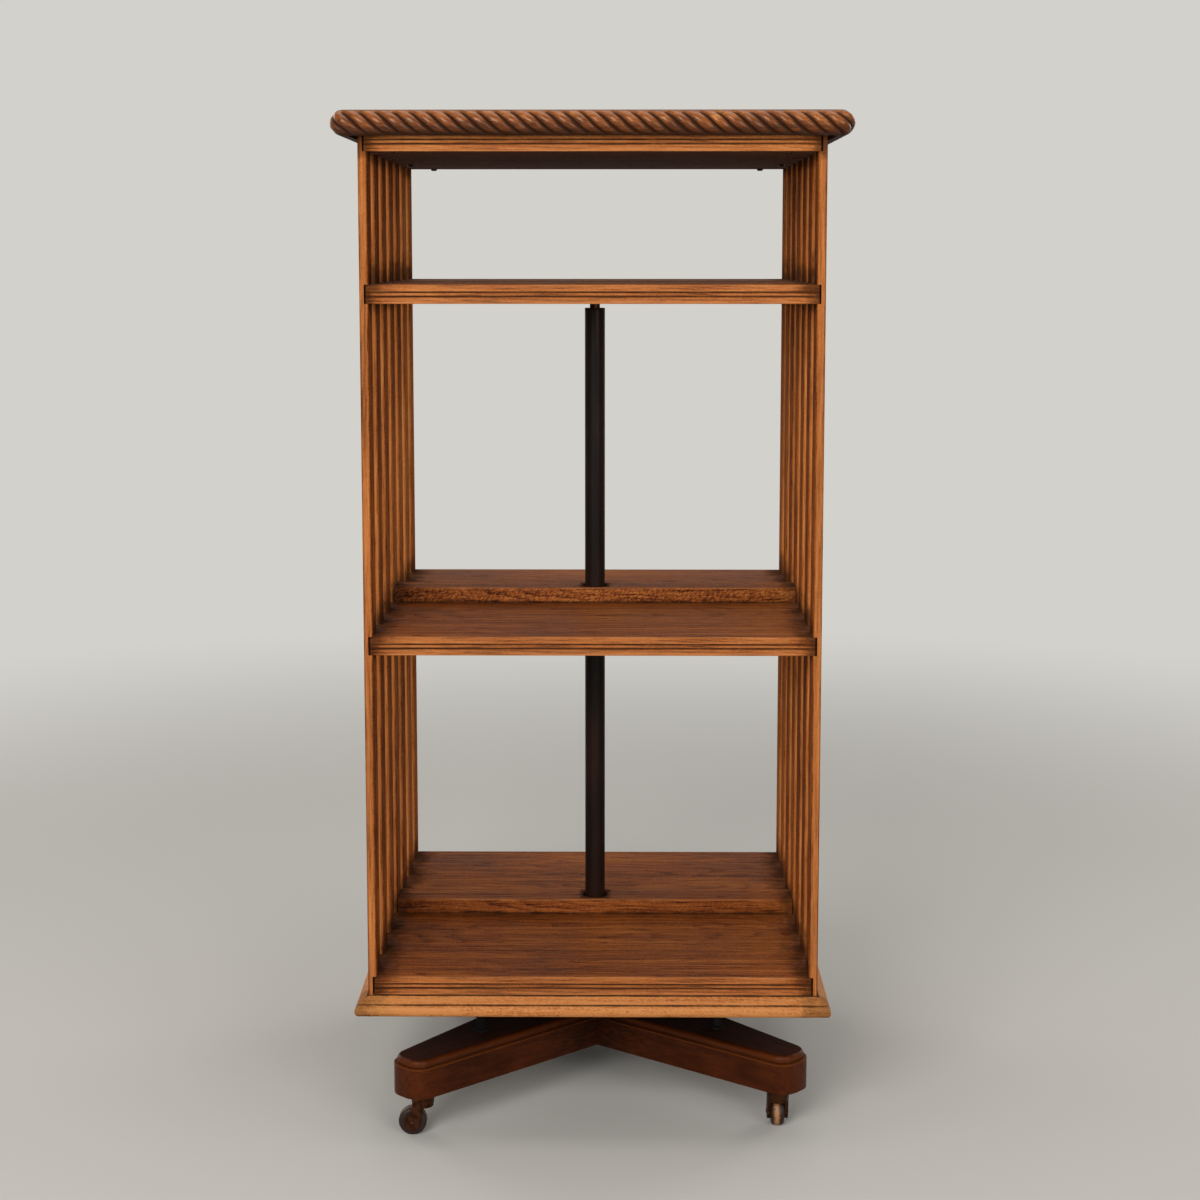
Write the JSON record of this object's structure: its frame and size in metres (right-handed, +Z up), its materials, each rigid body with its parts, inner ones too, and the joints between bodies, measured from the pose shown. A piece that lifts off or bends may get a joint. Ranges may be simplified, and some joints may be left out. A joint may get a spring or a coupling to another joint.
{
  "type": "revolving bookcase",
  "caption": "Square open bookcase with slatted sides and a rope-moulded top, turning on an iron pole above a castored cross base.",
  "frame": {"origin": "on the floor, on the pole's axis", "axes": "+Z up along the pole, -Y towards the open front, +X to the right seen from the front"},
  "size_m": [0.5552, 0.5552, 1.1474],
  "materials": {
    "oak": "golden-brown polished oak",
    "carved_oak": "dark polished oak",
    "stained_wood": "dark red-brown stain",
    "black_iron": "black lacquer",
    "steel": "dull",
    "aged_brass": "brown with age",
    "wheel_wood": "dark, worn on the tread"
  },
  "bodies": {
    "base": {"cross_beam_upper": "stained_wood", "cross_beam_lower": "stained_wood", "pole": "black_iron", "pivot_pin": "steel", "pole_flange": "black_iron", "base_screws": "steel", "roller_axles": "steel", "roller_bracket_front_left": "black_iron", "roller_bracket_front_right": "black_iron", "roller_bracket_back_right": "black_iron", "roller_bracket_back_left": "black_iron", "caster_plate_front_left": "aged_brass", "caster_plate_front_right": "aged_brass", "caster_plate_back_right": "aged_brass", "caster_plate_back_left": "aged_brass"},
    "case": {"top_board": "oak", "sub_top": "oak", "upper_shelf": "oak", "middle_shelf": "oak", "bottom_shelf": "oak", "middle_book_stop": "oak", "bottom_book_stop": "oak", "base_board": "oak", "rope_front": "carved_oak", "rope_right": "carved_oak", "rope_back": "carved_oak", "rope_left": "carved_oak", "slat_left_1": "oak", "slat_left_2": "oak", "slat_left_3": "oak", "slat_left_4": "oak", "slat_left_5": "oak", "slat_left_6": "oak", "slat_left_7": "oak", "slat_right_1": "oak", "slat_right_2": "oak", "slat_right_3": "oak", "slat_right_4": "oak", "slat_right_5": "oak", "slat_right_6": "oak", "slat_right_7": "oak", "pivot_plate": "black_iron", "guide_bush": "black_iron", "case_screws": "steel"},
    "horn_front_left": {"caster_horn_front_left": "aged_brass", "caster_axle_front_left": "steel"},
    "wheel_front_left": {"caster_wheel_front_left": "wheel_wood"},
    "roller_front_left": {"roller_front_left": "black_iron"},
    "horn_front_right": {"caster_horn_front_right": "aged_brass", "caster_axle_front_right": "steel"},
    "wheel_front_right": {"caster_wheel_front_right": "wheel_wood"},
    "roller_front_right": {"roller_front_right": "black_iron"},
    "horn_back_right": {"caster_horn_back_right": "aged_brass", "caster_axle_back_right": "steel"},
    "wheel_back_right": {"caster_wheel_back_right": "wheel_wood"},
    "roller_back_right": {"roller_back_right": "black_iron"},
    "horn_back_left": {"caster_horn_back_left": "aged_brass", "caster_axle_back_left": "steel"},
    "wheel_back_left": {"caster_wheel_back_left": "wheel_wood"},
    "roller_back_left": {"roller_back_left": "black_iron"}
  },
  "joints": [
    {"name": "case_spin", "type": "hinge", "parent": "base", "child": "case", "pos_m": [0, 0, 0.1769], "axis": [0, 0, 1], "continuous": true},
    {"name": "caster_swivel_front_left", "type": "hinge", "parent": "base", "child": "horn_front_left", "pos_m": [-0.19389, -0.2116, 0.0492], "axis": [0, 0, 1], "continuous": true},
    {"name": "caster_roll_front_left", "type": "hinge", "parent": "horn_front_left", "child": "wheel_front_left", "pos_m": [-0.20539, -0.2116, 0.016], "axis": [0, -1, 0], "continuous": true},
    {"name": "roller_spin_front_left", "type": "hinge", "parent": "base", "child": "roller_front_left", "pos_m": [-0.13174, -0.14377, 0.1386], "axis": [-0.6756, -0.7373, 0], "continuous": true},
    {"name": "caster_swivel_front_right", "type": "hinge", "parent": "base", "child": "horn_front_right", "pos_m": [0.2116, -0.19389, 0.0492], "axis": [0, 0, 1], "continuous": true},
    {"name": "caster_roll_front_right", "type": "hinge", "parent": "horn_front_right", "child": "wheel_front_right", "pos_m": [0.2116, -0.18239, 0.016], "axis": [-1, 0, 0], "continuous": true},
    {"name": "roller_spin_front_right", "type": "hinge", "parent": "base", "child": "roller_front_right", "pos_m": [0.14377, -0.13174, 0.1386], "axis": [0.7373, -0.6756, 0], "continuous": true},
    {"name": "caster_swivel_back_right", "type": "hinge", "parent": "base", "child": "horn_back_right", "pos_m": [0.19389, 0.2116, 0.0492], "axis": [0, 0, 1], "continuous": true},
    {"name": "caster_roll_back_right", "type": "hinge", "parent": "horn_back_right", "child": "wheel_back_right", "pos_m": [0.2047, 0.21553, 0.016], "axis": [-0.342, 0.9397, 0], "continuous": true},
    {"name": "roller_spin_back_right", "type": "hinge", "parent": "base", "child": "roller_back_right", "pos_m": [0.13174, 0.14377, 0.1386], "axis": [0.6756, 0.7373, 0], "continuous": true},
    {"name": "caster_swivel_back_left", "type": "hinge", "parent": "base", "child": "horn_back_left", "pos_m": [-0.2116, 0.19389, 0.0492], "axis": [0, 0, 1], "continuous": true},
    {"name": "caster_roll_back_left", "type": "hinge", "parent": "horn_back_left", "child": "wheel_back_left", "pos_m": [-0.21553, 0.2047, 0.016], "axis": [-0.9397, -0.342, 0], "continuous": true},
    {"name": "roller_spin_back_left", "type": "hinge", "parent": "base", "child": "roller_back_left", "pos_m": [-0.14377, 0.13174, 0.1386], "axis": [-0.7373, 0.6756, 0], "continuous": true}
  ],
  "couplings": [
    {"joint": "roller_spin_front_left", "follows": "case_spin", "ratio": -12.188},
    {"joint": "roller_spin_front_right", "follows": "case_spin", "ratio": -12.188},
    {"joint": "roller_spin_back_right", "follows": "case_spin", "ratio": -12.188},
    {"joint": "roller_spin_back_left", "follows": "case_spin", "ratio": -12.188}
  ]
}
